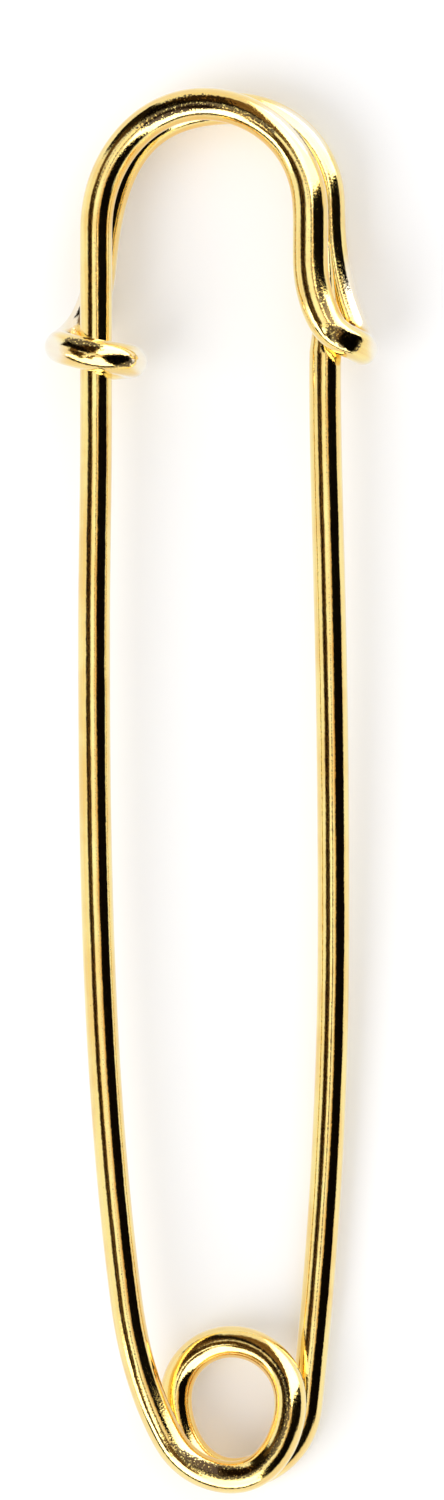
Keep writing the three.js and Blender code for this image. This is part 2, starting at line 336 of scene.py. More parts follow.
def wound_end_lines(back_start):
    """The lower arch, and the end that passes under the back leg and winds over and round it."""
    back_crown = back_start + place(-BACK_ARCH_RADIUS, BACK_ARCH_RADIUS)
    entry = place(LEG_X + WRAP_ENTRY_OFFSET, CROWN - WRAP_ENTRY_DROP, FLOOR_LEVEL)
    entering = leaning(180 + WRAP_ENTRY_LEAN)
    lower_arch = joined(
        quarter_turn(back_start, leaning(0), back_crown),
        bend(back_crown, leaning(-90), entry, entering, BACK_ARCH_HANDLES),
    )
    radius = WIRE_DIAMETER + WRAP_GAP
    angle = math.radians(WRAP_SWEEP) * SHARES
    advance = WRAP_PITCH * WRAP_SWEEP / 360
    early = 1 - smooth_step(SHARES / WRAP_EARLY_SHARE)
    late = smooth_step((SHARES - WRAP_LEVEL_FROM) / (1 - WRAP_LEVEL_FROM))
    drop = SHARES - WRAP_LEVEL_OUT * late - WRAP_EARLY_RISE / advance * early
    turn = np.hstack([-np.cos(angle) * radius, -advance * drop, np.sin(angle) * radius])
    turn += place(LEG_X, CROWN - WRAP_DROP, LAYER_LEVEL)
    rising = place(0, -advance, math.radians(WRAP_SWEEP) * radius)
    rising /= np.linalg.norm(rising)
    return lower_arch, joined(bend(entry, entering, turn[0], rising, WRAP_HANDLES), turn)


def wire_stretches():
    """Name and line of each stretch, in the order of the wire from its point."""
    tail, coil_free, coil_fixed = spring_lines()
    point, arm = arm_lines(tail[-1])
    foot_bend, leg = leg_lines(coil_fixed[-1])
    arch, cover, hook, catch_return = catch_lines(leg[-1])
    lower_arch, wound = wound_end_lines(catch_return[-1])
    return {
        "sharp_point": point,
        "opening_arm": arm,
        "tail_arc": tail[::-1],
        "coil_free_half": coil_free,
        "coil_fixed_half": coil_fixed,
        "foot_bend": foot_bend,
        "long_leg": leg,
        "upper_arch": arch,
        "catch_cover": cover,
        "hook_turn": hook,
        "catch_return": catch_return,
        "lower_arch": lower_arch,
        "wound_end": wound,
    }


def softened(points, passes):
    """The points, each drawn towards its neighbours, over and over. Both ends stay in place."""
    reach = passes + 1
    before = 2 * points[0] - points[reach:0:-1]
    after = 2 * points[-1] - points[-2 : -reach - 2 : -1]
    padded = np.vstack([before, points, after])
    for _ in range(passes):
        padded[1:-1] = (padded[:-2] + 2 * padded[1:-1] + padded[2:]) / 4
    return padded[reach:-reach]


def eased(line):
    """The line with its bends eased into each other, without drawing them in."""
    passes = round(2 * (EASING / RING_STEP) ** 2)
    once = softened(line, passes)
    return 2 * once - softened(once, passes)


def unit(directions):
    return directions / np.linalg.norm(directions, axis=-1, keepdims=True)


def carried_sides(headings):
    """A side direction for each ring, carried along the wire without twisting."""
    side = unit(np.cross(headings[0], [0, 0, 1]))
    sides = [side]
    for heading in headings[1:]:
        side = unit(side - heading * np.dot(side, heading))
        sides.append(side)
    return np.array(sides)


def end_rings(length):
    """Extra rings near the tip and the cut end, where the wire's girth changes quickest."""
    close = np.array(END_RINGS)
    return np.concatenate([close, length - close])


def sampled(points, known_at, wanted):
    """The points of a line, which are known at some lengths along it, at other lengths."""
    return np.stack([np.interp(wanted, known_at, axis) for axis in points.T], axis=1)


def drawn_wire():
    """The whole wire: the run, place, heading and side of each ring, and the first and last ring
    of each stretch."""
    stretches = wire_stretches()
    whole = joined(*stretches.values())
    along = lengths_along(whole)
    rings = round(along[-1] / RING_STEP)
    run = np.linspace(0, along[-1], rings + 1)
    line = eased(sampled(whole, along, run))
    ends = np.cumsum([lengths_along(stretch)[-1] for stretch in stretches.values()])
    ends = run[np.rint(ends / along[-1] * rings).astype(int)]
    all_runs = np.union1d(run, end_rings(along[-1]))
    line = sampled(line, run, all_runs)
    line[:, 2] = np.maximum(line[:, 2], FLOOR_LEVEL)
    headings = unit(np.gradient(line, all_runs, axis=0))
    last = np.searchsorted(all_runs, ends)
    spans = dict(zip(stretches, zip([0, *last[:-1]], last)))
    return all_runs, line, headings, carried_sides(headings), spans


RUN, LINE, HEADINGS, SIDES_ALONG, SPANS = drawn_wire()
TURNING = np.gradient(HEADINGS, RUN, axis=0)  # for each ring, towards the inside of its bend


def girth_along():
    """Share of the full radius at each ring: the ground point and the rim of the cut end."""
    slope = (RADIUS - TIP_RADIUS) / POINT_LENGTH
    girth = np.minimum(RADIUS, TIP_RADIUS + slope * RUN)
    near_tip = np.clip(RUN / TIP_RADIUS, 0, 1)
    girth *= np.sqrt(1 - (1 - near_tip) ** 2)
    edge = np.clip(1 - (RUN[-1] - RUN) / CUT_EDGE, 0, 1)
    girth -= CUT_EDGE * (1 - np.sqrt(1 - edge**2))
    return np.maximum(girth / RADIUS, LEAST_GIRTH)


def pressed_along():
    """How far each ring is pressed flat, from 0 to 1: the catch's upper wire."""
    start, end = (RUN[ring] for ring in SPANS["catch_cover"])
    lead_in = smooth_step((RUN - start + PRESSED_LEAD_IN) / PRESSED_LEAD_IN)
    return lead_in * smooth_step((end + PRESSED_PAST_END - RUN) / PRESSED_LEAD_OUT)


def flattened_along():
    """How far the wire's upper side is beaten flat at each ring, from 0 to 1: the hook."""
    start = RUN[SPANS["hook_turn"][0]]
    lead_in = smooth_step((RUN - start + FLAT_BEFORE) / FLAT_LEAD_IN)
    return lead_in * smooth_step((start + FLAT_AFTER - RUN) / FLAT_LEAD_OUT)


def bent_along():
    """How hard each ring has been bent, from 0 on the legs to 1 on the tightest turns."""
    spread = np.hanning(BENT_SPREAD) / np.hanning(BENT_SPREAD).sum()
    turning = np.linalg.norm(TURNING, axis=1)
    return np.clip(np.convolve(turning, spread, mode="same") * BENT_GAIN, 0, 1)


GIRTH = girth_along()
PRESSED = pressed_along()
FLATTENED = flattened_along()
BENT = bent_along()

# Oval places on the plating: the stretch, the share along it, the half length, the bearing and
# tilt of the side that the place is on, and the half angle that it spans
# Worn places, mixed with painted dark reflections: a dark mottle painted on the sides that face
# the studio's dark parts, with rougher gloss and a thinner coat
WEAR_AND_PAINTED_DARK_PLACES = {
    "crown": ("upper_arch", 0.47, 3.8, 90, 4, 42),
    "crown_right": ("upper_arch", 0.66, 2.6, 215, 8, 14),
    "coil_right": ("coil_fixed_half", 0.42, 4.6, 150, 12, 16),
    "coil_bottom": ("coil_fixed_half", 0.80, 5.6, 86, 14, 24),
    "coil_inner": ("coil_fixed_half", 0.77, 4.0, 82, 32, 24),
    # Painted dark reflection along the bend above the hook
    "hook_bend": ("catch_cover", 0.74, 2.4, 21, 17, 15),
    "hook_end": ("hook_turn", 0.07, 1.7, -45, 10, 46),
    "hook_nick": ("hook_turn", 0.45, 0.5, -17, 88, 5),
    # Painted shade in the crevice where the upper arch lies on the lower one
    "shoulder_seam": ("upper_arch", 0.82, 3.4, 37, 76, 17),
    "wound_left": ("wound_end", 0.55, 1.9, 100, 30, 34),
    "wound_right": ("wound_end", 0.70, 1.5, -30, 25, 32),
}
# Thin plating mixed with painted highlights: near-white where the sides face the bright windows,
# on the arch shoulders, the hook and the wound end
THIN_AND_PAINTED_HIGHLIGHT_PLACES = {
    "hook_end": ("hook_turn", 0.58, 2.5, 5, 85, 74),
    "hook_back": ("catch_return", 0.1, 3.6, 20, 70, 64),
    "wound_start": ("wound_end", 0.22, 3.4, 140, 60, 110),
    "wound_left": ("wound_end", 0.44, 2.5, 180, 80, 68),
    "wound_right": ("wound_end", 0.80, 2.5, 0, 80, 64),
    "shoulder": ("upper_arch", 0.72, 3.9, 45, 50, 20),
    "back_shoulder": ("lower_arch", 0.25, 4.9, 45, 50, 20),
}
# Painted dark reflections: near-black brown where the coil's underside and the crown's inner side
# face dark parts of the studio
PAINTED_DARK_REFLECTION_PLACES = {
    "coil_bottom": ("coil_fixed_half", 0.80, 4.8, 78, 24, 23),
    "crown_low": ("upper_arch", 0.47, 3.6, 270, 13, 16),
}
PLACE_EDGE = 2.5  # how steeply a place fades at its rim

# The inside of a bend, where the gold that the wire would mirror across the bend is painted in as
# a deeper gold: the least share of facing inward that counts, the share over which it grows to
# the full, and the turning for each millimetre that counts as a full bend
INSIDE_FROM = 0.74
INSIDE_REACH = 0.2
FULL_BEND = 0.15


def towards(bearing, tilt):
    """Direction at a bearing, which turns from +X towards +Y, and a tilt from overhead."""
    bearing, tilt = math.radians(bearing), math.radians(tilt)
    level = math.sin(tilt)
    return level * math.cos(bearing), level * math.sin(bearing), math.cos(tilt)


def share_of(places, run, outward):
    """How far each point lies in one of the places, from the run along the wire and the side
    that it is on."""
    found = np.zeros(len(run))
    for stretch, share, half_length, bearing, tilt, half_angle in places.values():
        start, end = (RUN[ring] for ring in SPANS[stretch])
        along = (run - start - (end - start) * share) / half_length
        facing = np.clip(outward @ towards(bearing, tilt), -1, 1)
        round_it = np.degrees(np.arccos(facing)) / half_angle
        here = smooth_step((1 - np.hypot(along, round_it)) * PLACE_EDGE)
        found = np.maximum(found, here)
    return found


def inside_of(run, outward):
    """How far each point lies on the inside of a bend, where its own gold's reflection is painted
    in.
    """
    inward = sampled(TURNING, RUN, run)
    tightness = np.linalg.norm(inward, axis=1)
    facing = np.sum(outward * inward, axis=1) / (tightness + TINY)
    bend_share = np.clip(tightness / FULL_BEND, 0, 1)
    return smooth_step((facing - INSIDE_FROM) / INSIDE_REACH) * bend_share


# Drawing the wire


def add_node(tree, kind, values=None, **settings):
    """A node with its settings. Each value goes to the input of that name or number, and a
    socket is linked to it."""
    made = tree.nodes.new(kind)
    for name, value in settings.items():
        setattr(made, name, value)
    for key, value in (values or {}).items():
        if isinstance(value, bpy.types.NodeSocket):
            tree.links.new(value, made.inputs[key])
        else:
            made.inputs[key].default_value = value
    return made


def maths(tree, operation, *values):
    made = add_node(tree, "ShaderNodeMath", dict(enumerate(values)), operation=operation)
    return made.outputs[0]


def vectors(tree, operation, *values):
    given = dict(enumerate(values))
    made = add_node(tree, "ShaderNodeVectorMath", given, operation=operation)
    return made.outputs["Value" if operation == "DOT_PRODUCT" else "Vector"]


def scaled(tree, vector, scale):
    given = {0: vector, "Scale": scale}
    made = add_node(tree, "ShaderNodeVectorMath", given, operation="SCALE")
    return made.outputs["Vector"]


def wire_drawing_tree():
    """Draws a round wire along a line of points, presses it flat where the line says, and keeps
    on each point where it lay on the straight wire before it was bent."""
    tree = bpy.data.node_groups.new("wire_drawing", "GeometryNodeTree")
    for name, kind in (
        ("Line", "NodeSocketGeometry"),
        ("Wire Diameter", "NodeSocketFloat"),
        ("Sides", "NodeSocketInt"),
        ("Pressed Width", "NodeSocketFloat"),
        ("Pressed Height", "NodeSocketFloat"),
        ("Finish", "NodeSocketMaterial"),
    ):
        tree.interface.new_socket(name, in_out="INPUT", socket_type=kind)
    tree.interface.new_socket("Wire", in_out="OUTPUT", socket_type="NodeSocketGeometry")
    given = tree.nodes.new("NodeGroupInput").outputs

    def kept(name, kind="FLOAT_VECTOR"):
        values = {"Name": name}
        made = add_node(tree, "GeometryNodeInputNamedAttribute", values, data_type=kind)
        return made.outputs["Attribute"]

    def step(kind, values, **settings):
        return add_node(tree, "GeometryNode" + kind, values, **settings).outputs[0]

    def moved(wire, offset):
        return step("SetPosition", {"Geometry": wire, "Offset": offset})

    def out_now():
        return vectors(tree, "SUBTRACT", step("InputPosition", {}), core)

    side, heading, core = kept("side"), kept("heading"), kept("core")
    curve = step("MeshToCurve", {"Mesh": given["Line"]})
    curve = step("SetCurveNormal", {"Curve": curve, "Normal": side}, mode="FREE")
    radius = maths(tree, "MULTIPLY", given["Wire Diameter"], 0.5)
    circle = {"Resolution": given["Sides"], "Radius": radius}
    drawing = {
        "Curve": curve,
        "Profile Curve": step("CurvePrimitiveCircle", circle, mode="RADIUS"),
        "Scale": kept("girth", "FLOAT"),
        "Fill Caps": True,
    }
    wire = step("CurveToMesh", drawing)

    # Each ring is set square to the wire, so that the last ring of a stretch is the first one of
    # the next
    astray = maths(tree, "MULTIPLY", vectors(tree, "DOT_PRODUCT", out_now(), heading), -1.0)
    wire = moved(wire, scaled(tree, heading, astray))

    # Where each point lies in its ring, along the wire's side and square to it
    out = out_now()
    square = vectors(tree, "CROSS_PRODUCT", heading, side)
    parts = {
        0: vectors(tree, "DOT_PRODUCT", out, side),
        1: vectors(tree, "DOT_PRODUCT", out, square),
        2: kept("run", "FLOAT"),
    }
    straight_place = add_node(tree, "ShaderNodeCombineXYZ", parts).outputs[0]
    wire = step(
        "StoreNamedAttribute",
        {"Geometry": wire, "Name": "straight_wire", "Value": straight_place},
        data_type="FLOAT_VECTOR",
        domain="POINT",
    )

    # The pressed stretch is wider across its flat side and lower along the vertical
    pressed, flat_up = kept("pressed", "FLOAT"), kept("flat_up")
    moves = []
    for direction, size in (
        (kept("flat_side"), given["Pressed Width"]),
        (flat_up, given["Pressed Height"]),
    ):
        change = maths(tree, "MULTIPLY", maths(tree, "SUBTRACT", size, 1.0), pressed)
        amount = maths(tree, "MULTIPLY", vectors(tree, "DOT_PRODUCT", out, direction), change)
        moves.append(scaled(tree, direction, amount))

    # The flattened stretch is cut off at a level, with an eased edge
    height = maths(tree, "DIVIDE", vectors(tree, "DOT_PRODUCT", out, flat_up), radius)
    level = maths(tree, "SMOOTH_MIN", height, FLAT_LEVEL, FLAT_EDGE)
    amount = maths(tree, "MULTIPLY", maths(tree, "SUBTRACT", level, height), radius)
    amount = maths(tree, "MULTIPLY", amount, kept("flattened", "FLOAT"))
    lowered = scaled(tree, flat_up, amount)
    wire = moved(wire, vectors(tree, "ADD", vectors(tree, "ADD", *moves), lowered))

    wire = step("SetShadeSmooth", {"Geometry": wire, "Shade Smooth": True})
    wire = step("RealizeInstances", {"Geometry": wire})
    wire = step("SetMaterial", {"Geometry": wire, "Material": given["Finish"]})
    tree.links.new(wire, tree.nodes.new("NodeGroupOutput").inputs[0])
    return tree


def line_mesh(name, first, last):
    """The rings' centres from one ring to another as a chain of edges, with what the drawing
    needs to know."""
    span = slice(first, last + 1)
    heading = HEADINGS[span]
    flat_side = unit(np.cross(heading, [0, 0, 1]) + TINY)
    known = {
        "core": (COIL_CENTRE + LINE[span]) * MM,
        "heading": heading,
        "side": SIDES_ALONG[span],
        "flat_side": flat_side,
        "flat_up": unit(np.cross(flat_side, heading)),
        "girth": GIRTH[span],
        "pressed": PRESSED[span],
        "flattened": FLATTENED[span],
        "bent": BENT[span],
        "run": RUN[span] * MM,
    }
    mesh = bpy.data.meshes.new(name)
    mesh.from_pydata(known["core"], [(ring, ring + 1) for ring in range(last - first)], [])
    for label, values in known.items():
        vector = values.ndim == 2
        kept = mesh.attributes.new(label, "FLOAT_VECTOR" if vector else "FLOAT", "POINT")
        flat_values = values.astype(np.float32).ravel()
        kept.data.foreach_set("vector" if vector else "value", flat_values)
    return mesh


def follows_flat(height):
    """How fast the flattened wire's height follows the round one's, from 1 below the flat to 0
    on it."""
    near = np.clip(1 - np.abs(height - FLAT_LEVEL) / FLAT_EDGE, 0, 1)
    return np.where(height < FLAT_LEVEL, 1 - near**2 / 2, near**2 / 2)


def shade_round(mesh):
    """Sets the wire's own round normals, so that a stretch runs on into the next one without a
    seam, and keeps on each point its share of wear with painted dark reflection, of painted dark
    reflection, of thin plating with painted highlight, and of painted gold reflection in bends."""
    count = len(mesh.vertices)

    def read(label, width):
        data = np.zeros(count * width, np.float32)
        mesh.attributes[label].data.foreach_get("vector" if width == 3 else "value", data)
        return data.reshape(count, width).astype(float)

    def part_along(direction):
        return np.sum(out * direction, axis=1, keepdims=True)

    heading, side = unit(read("heading", 3)), unit(read("side", 3))
    across, upward = unit(read("flat_side", 3)), unit(read("flat_up", 3))
    in_ring = read("straight_wire", 3)
    out = side * in_ring[:, :1] + np.cross(heading, side) * in_ring[:, 1:2]
    out = unit(out + TINY * MM)
    pressed = read("pressed", 1)
    follows = 1 + (follows_flat(part_along(upward)) - 1) * read("flattened", 1)
    facing = across * part_along(across) * follows / (1 + (PRESSED_WIDTH - 1) * pressed)
    facing += upward * part_along(upward) / (1 + (PRESSED_HEIGHT - 1) * pressed)
    run = read("run", 1)[:, 0] / MM
    slope = np.interp(run, RUN, np.gradient(GIRTH * RADIUS, RUN))
    facing = unit(unit(facing) - heading * slope[:, None])
    normals = np.zeros((len(mesh.loops), 3))
    for face in mesh.polygons:
        end_face = len(face.vertices) > FACE_CORNERS
        for loop in face.loop_indices:
            normals[loop] = face.normal if end_face else facing[mesh.loops[loop].vertex_index]
    mesh.normals_split_custom_set(normals.tolist())
    plating_shares = {
        "wear_and_painted_dark": share_of(WEAR_AND_PAINTED_DARK_PLACES, run, out),
        "thin_and_painted_highlight": share_of(THIN_AND_PAINTED_HIGHLIGHT_PLACES, run, out),
        "painted_dark_reflection": share_of(PAINTED_DARK_REFLECTION_PLACES, run, out),
        "painted_gold_reflection": inside_of(run, out),
    }
    for label, share in plating_shares.items():
        kept = mesh.attributes.new(label, "FLOAT", "POINT")
        kept.data.foreach_set("value", share.astype(np.float32))


# Finish of the wire


def mapped(tree, value, limits, results=(0.0, 1.0), step="SMOOTHSTEP"):
    """The value, taken from one range to another and held at its ends."""
    given = {
        "Value": value,
        "From Min": limits[0],
        "From Max": limits[1],
        "To Min": results[0],
        "To Max": results[1],
    }
    made = add_node(tree, "ShaderNodeMapRange", given, interpolation_type=step)
    return made.outputs["Result"]


def mixed(tree, share, first, second):
    """A colour between two others, each given as a colour or a socket."""
    made = add_node(tree, "ShaderNodeMix", {"Factor": share}, data_type="RGBA")
    for socket, colour in ((made.inputs[6], first), (made.inputs[7], second)):
        if isinstance(colour, bpy.types.NodeSocket):
            tree.links.new(colour, socket)
        else:
            socket.default_value = (*colour, 1)
    return made.outputs[2]


GOLD_BRIGHT = (0.99, 0.80, 0.285)
GOLD_DEEP = (0.92, 0.62, 0.17)
GOLD_THIN_AND_PAINTED_HIGHLIGHT = (0.97, 0.92, 0.80)
GOLD_PAINTED_REFLECTION = (0.93, 0.54, 0.09)
TARNISH_AND_PAINTED_DARK = (0.08, 0.050, 0.022)
PAINTED_DARK_REFLECTION_COLOUR = (0.035, 0.018, 0.006)

# Patterns on the wire as it was before it was bent: how much each is squeezed along the wire, so
# that less draws it out, its scale for each millimetre, and its detail
PATTERNS = {
    "draw_marks": (0.06, 7, 3),
    "grain": (1, 8, 3),
    "dents": (0.45, 0.9, 1),
    "patches": (1, 0.55, 2),
    "mottle": (1, 10, 2),
    "streaks": (0.05, 3.0, 2),
}

# Depth of the marks, in metres
DENT_DEPTH = 24e-6
DRAW_MARK_DEPTH = 1.6e-6
GRAIN_DEPTH = 6e-6
GRAIN_SHARES = (0.8, 1.3)  # of that depth, where the wire is smooth and where it is rough
WORKED_PATCHES = (0.35, 0.65)  # range of the patches over which a bend is worked rough

# Colour: the patches' share of the pattern that turns bright gold deep, and its range
PATCH_SHARE = 0.4
DEEP_RANGE = (0.38, 0.66)
PAINTED_REFLECTION_SHARE = 0.85
THIN_AND_HIGHLIGHT_SHARE = 0.8

# Tarnish mixed with painted dark reflection, and painted dark reflection alone, come where the
# mottle, lifted by the share of each, is in a range
WEAR_AND_PAINTED_DARK_LIFT = 0.44
FLECK_RANGE = (0.76, 0.88)
FLECK_SHARE = 0.92
PAINTED_DARK_LIFT = 0.5
PAINTED_DARK_RANGE = (0.74, 0.88)
PAINTED_DARK_SHARE = 0.96

# Gloss
GRAIN_RANGE = (0.3, 0.7)
GRAIN_ROUGHNESS = (0.04, 0.10)
ROUGH_ADDED = 0.06
PAINTED_REFLECTION_BARE = 0.7  # how far the coat is thinned inside a bend
LEAST_COAT = 0.1
COAT_ROUGHNESS = 0.03
COAT_IOR = 1.7


def gold_plating():
    """Polished gold plating over drawn wire: fine marks and warmer streaks along the wire, slow
    dents, and a fine grain that is coarser where it is bent. It is mottled dark where worn, mixed
    there with painted dark reflections, painted near-black where it faces dark parts of the
    studio, painted pale where thin and where highlights fall, and painted a deeper gold inside
    the bends, where it would mirror its own gold."""
    finish = bpy.data.materials.new("gold_plating")
    finish.use_nodes = True
    tree = finish.node_tree
    shader = tree.nodes["Principled BSDF"]

    def kept(name, output="Fac"):
        return add_node(tree, "ShaderNodeAttribute", attribute_name=name).outputs[output]

    def times(first, second):
        return maths(tree, "MULTIPLY", first, second)

    def lifted(value, lift, limits):
        return mapped(tree, maths(tree, "ADD", times(value, lift), pattern["mottle"]), limits)

    along = scaled(tree, kept("straight_wire", "Vector"), 1 / MM)
    bent, wear_and_painted_dark, thin_and_painted_highlight, painted_dark_reflection, painted_gold_reflection = map(kept, ("bent", "wear_and_painted_dark", "thin_and_painted_highlight", "painted_dark_reflection", "painted_gold_reflection"))
    pattern = {}
    for name, (lengthwise, scale, detail) in PATTERNS.items():
        squeezed = vectors(tree, "MULTIPLY", along, (1, 1, lengthwise))
        given = {"Vector": squeezed, "Scale": scale, "Detail": detail}
        pattern[name] = add_node(tree, "ShaderNodeTexNoise", given).outputs["Fac"]

    worked = times(bent, mapped(tree, pattern["patches"], WORKED_PATCHES))
    rough = maths(tree, "MAXIMUM", worked, wear_and_painted_dark)
    coarse = times(pattern["grain"], mapped(tree, rough, (0, 1), GRAIN_SHARES, "LINEAR"))
    bump = {"Strength": 1.0}
    for height, depth in (
        (pattern["dents"], DENT_DEPTH),
        (pattern["draw_marks"], DRAW_MARK_DEPTH),
        (coarse, GRAIN_DEPTH),
    ):
        bump |= {"Height": height, "Distance": depth}
        bump["Normal"] = add_node(tree, "ShaderNodeBump", bump).outputs["Normal"]
    tree.links.new(bump["Normal"], shader.inputs["Normal"])

    warmth = times(pattern["patches"], PATCH_SHARE)
    warmth = maths(tree, "ADD", warmth, times(pattern["streaks"], 1 - PATCH_SHARE))
    colour = mixed(tree, mapped(tree, warmth, DEEP_RANGE), GOLD_BRIGHT, GOLD_DEEP)
    # Dark flecks: tarnish where worn, and painted dark reflections
    flecks = lifted(wear_and_painted_dark, WEAR_AND_PAINTED_DARK_LIFT, FLECK_RANGE)
    # Painted dark reflections, mottled
    painted_dark_reflections = lifted(painted_dark_reflection, PAINTED_DARK_LIFT, PAINTED_DARK_RANGE)
    for share, most, tone in (
        (painted_gold_reflection, PAINTED_REFLECTION_SHARE, GOLD_PAINTED_REFLECTION),
        (thin_and_painted_highlight, THIN_AND_HIGHLIGHT_SHARE, GOLD_THIN_AND_PAINTED_HIGHLIGHT),
        (flecks, FLECK_SHARE, TARNISH_AND_PAINTED_DARK),
        (painted_dark_reflections, PAINTED_DARK_SHARE, PAINTED_DARK_REFLECTION_COLOUR),
    ):
        colour = mixed(tree, times(share, most), colour, tone)
    tree.links.new(colour, shader.inputs["Base Color"])

    roughness = mapped(tree, pattern["grain"], GRAIN_RANGE, GRAIN_ROUGHNESS, "LINEAR")
    added = mapped(tree, rough, (0, 1), (0, ROUGH_ADDED), "LINEAR")
    tree.links.new(maths(tree, "ADD", roughness, added), shader.inputs["Roughness"])
    bare = maths(tree, "MAXIMUM", wear_and_painted_dark, times(painted_gold_reflection, PAINTED_REFLECTION_BARE))
    coat = mapped(tree, bare, (0, 1), (1, LEAST_COAT), "LINEAR")
    tree.links.new(coat, shader.inputs["Coat Weight"])
    shader.inputs["Metallic"].default_value = 1.0
    shader.inputs["Coat Roughness"].default_value = COAT_ROUGHNESS
    shader.inputs["Coat IOR"].default_value = COAT_IOR
    return finish


# Pieces of the wire

# What carries each stretch, and the solid that it stands for
STRETCHES = {
    "sharp_point": ("pin", "pin_point"),
    "opening_arm": (("tail", "pin"), "pin_arm"),
    "tail_arc": ("tail", "spring_tail"),
    "coil_free_half": (("frame", "tail"), "spring_coil"),
    "coil_fixed_half": ("frame", "spring_coil"),
    "foot_bend": ("frame", "leg_foot"),
    "long_leg": ("frame", "back_leg"),
    "upper_arch": ("frame", "front_arch"),
    "catch_cover": ("frame", "catch_front"),
    "hook_turn": ("frame", "catch_bend"),
    "catch_return": ("frame", "catch_back"),
    "lower_arch": ("frame", "back_arch"),
    "wound_end": ("frame", "leg_wrap"),
}
DRAWING_MARKS = (
    "core", "heading", "side", "flat_side", "flat_up", "girth", "pressed", "flattened", "run"
)


def in_metres(point):
    return Vector(COIL_CENTRE + point) * MM


# Where the two springing stretches start and finish their change from one body to the other
arm_root = LINE[SPANS["tail_arc"][0]]
arm_flex_end = arm_root + leaning(ARM_ROOT_LEAN) * ARM_FLEX_LENGTH
coil_top, coil_bottom = place(0, COIL_RADIUS - RADIUS), place(0, RADIUS - COIL_DROP)
CROSSINGS = {
    "opening_arm": (in_metres(arm_root), in_metres(arm_flex_end)),
    "coil_free_half": (in_metres(coil_top), in_metres(coil_bottom)),
}


def wire_piece(name, tree, finish):
    """A stretch of the wire, drawn along its line and made a plain mesh."""
    piece = bpy.data.objects.new(name, line_mesh(name + "_line", *SPANS[name]))
    bpy.context.scene.collection.objects.link(piece)
    drawing = piece.modifiers.new("drawing", "NODES")
    drawing.node_group = tree
    given = {
        "Wire Diameter": WIRE_DIAMETER * MM,
        "Sides": SIDES,
        "Pressed Width": PRESSED_WIDTH,
        "Pressed Height": PRESSED_HEIGHT,
        "Finish": finish,
    }
    for item in tree.interface.items_tree:
        if item.name in given:
            drawing[item.identifier] = given[item.name]
    bpy.context.view_layer.update()
    drawn = piece.evaluated_get(bpy.context.evaluated_depsgraph_get())
    mesh = bpy.data.meshes.new_from_object(drawn)
    piece.modifiers.remove(drawing)
    line = piece.data
    piece.data = mesh
    bpy.data.meshes.remove(line)
    mesh.name = name
    shade_round(mesh)
    for label in DRAWING_MARKS:
        mesh.attributes.remove(mesh.attributes[label])
    return piece


wire_drawing = wire_drawing_tree()
plating = gold_plating()
for stretch, (body, solid) in STRETCHES.items():
    piece = wire_piece(stretch, wire_drawing, plating)
    if stretch in CROSSINGS:
        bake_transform(piece)
    else:
        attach(piece, body)
    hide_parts(solid)

# Studio

# Parts of the studio as the wire mirrors them, in degrees. Bearings turn from +X towards +Y and
# tilts are measured from straight overhead: the middle bearing, the half width where it starts to
# fade and where it ends, the tilts where it starts, is whole, starts to fade and ends, the colour
# with its strength, and whether the thing is speckled
STUDIO = {
    "far_wall": (98, (28, 36), (7, 15, 60, 67), (0.14, 0.08, 0.032), True),
    "doorway": (137, (13, 17), (8, 13, 94, 98), (0.012, 0.008, 0.005), False),
    "high_shelf": (160, (13, 19), (38, 42, 61, 65), (0.08, 0.045, 0.018), True),
    "low_shelf": (187, (20, 24), (24, 28, 56, 61), (0.012, 0.005, 0.0015), True),
    "front_window": (254, (45, 47), (16, 19, 74, 76), (3.1, 3.1, 3.1), False),
    "side_window": (205, (8, 9), (56, 59, 78, 80), (3.1, 3.1, 3.1), False),
    "stand_shade": (214, (10, 11), (36, 40, 53, 58), (0.03, 0.015, 0.005), True),
    "front_stand": (233, (15, 20), (4, 8, 36, 41), (0.07, 0.04, 0.018), True),
    "front_skirting": (262, (54, 58), (73, 75, 86, 89), (0.02, 0.009, 0.003), False),
    "black_cloth": (339, (40, 41), (15, 19, 82, 86), (0.003, 0.002, 0.0015), False),
    "cloth_hem": (318, (20, 26), (68, 80, 98, 102), (1.0, 0.98, 0.93), False),
    "right_window": (47, (27, 28), (10, 14, 98, 102), (3.1, 3.1, 3.1), False),
    "cloth_fold": (17, (8, 9), (13, 17, 30, 44), (0.003, 0.002, 0.0015), False),
}
SPECKS = (0.60, 0.36, 0.15)
SPECK_SCALE = 22
SPECK_DETAIL = 2.0
SPECK_RANGE = (0.58, 0.66)

# Long things overhead that run along the pin: their place from left to right and half width, the
# least and greatest place from the coil's end to the arch's end, and the colour with its strength,
# all places in degrees
RAILS = {
    "tube_light": (-11, 8, -60, 60, (1.22, 1.20, 1.14)),
    "lamp_arm": (4, 2.4, 0.5, 60, (0.22, 0.11, 0.03)),
    "warm_beam": (13, 4.5, -60, 60, (0.82, 0.56, 0.34)),
}
RAIL_FADE = 1.0
CEILING = (1.0, 0.98, 0.93)
WHITE = (1, 1, 1)

# Lamp at the front left
LAMP_STRENGTH = 1.7
LAMP_SPREAD = 50
LAMP_BEARING = 208
LAMP_TILT = 53

# Table
TABLE_HALF_WIDTH = 3  # metres
TABLE_ROUGHNESS = 0.9
TABLE_LIGHT = (0.69, 0.69, 0.705)  # what the studio sheds on it
TABLE_COLOUR = (0.90, 0.898, 0.898)
GLOW_COLOUR = (1, 0.995, 0.99)
TABLE_GLOW = 0.12
MIRRORED_SHARE = 0.4  # of the table's lit colour where the wire mirrors it
MIRRORED_GLOW = 0.6  # the even glow that takes the place of the rest


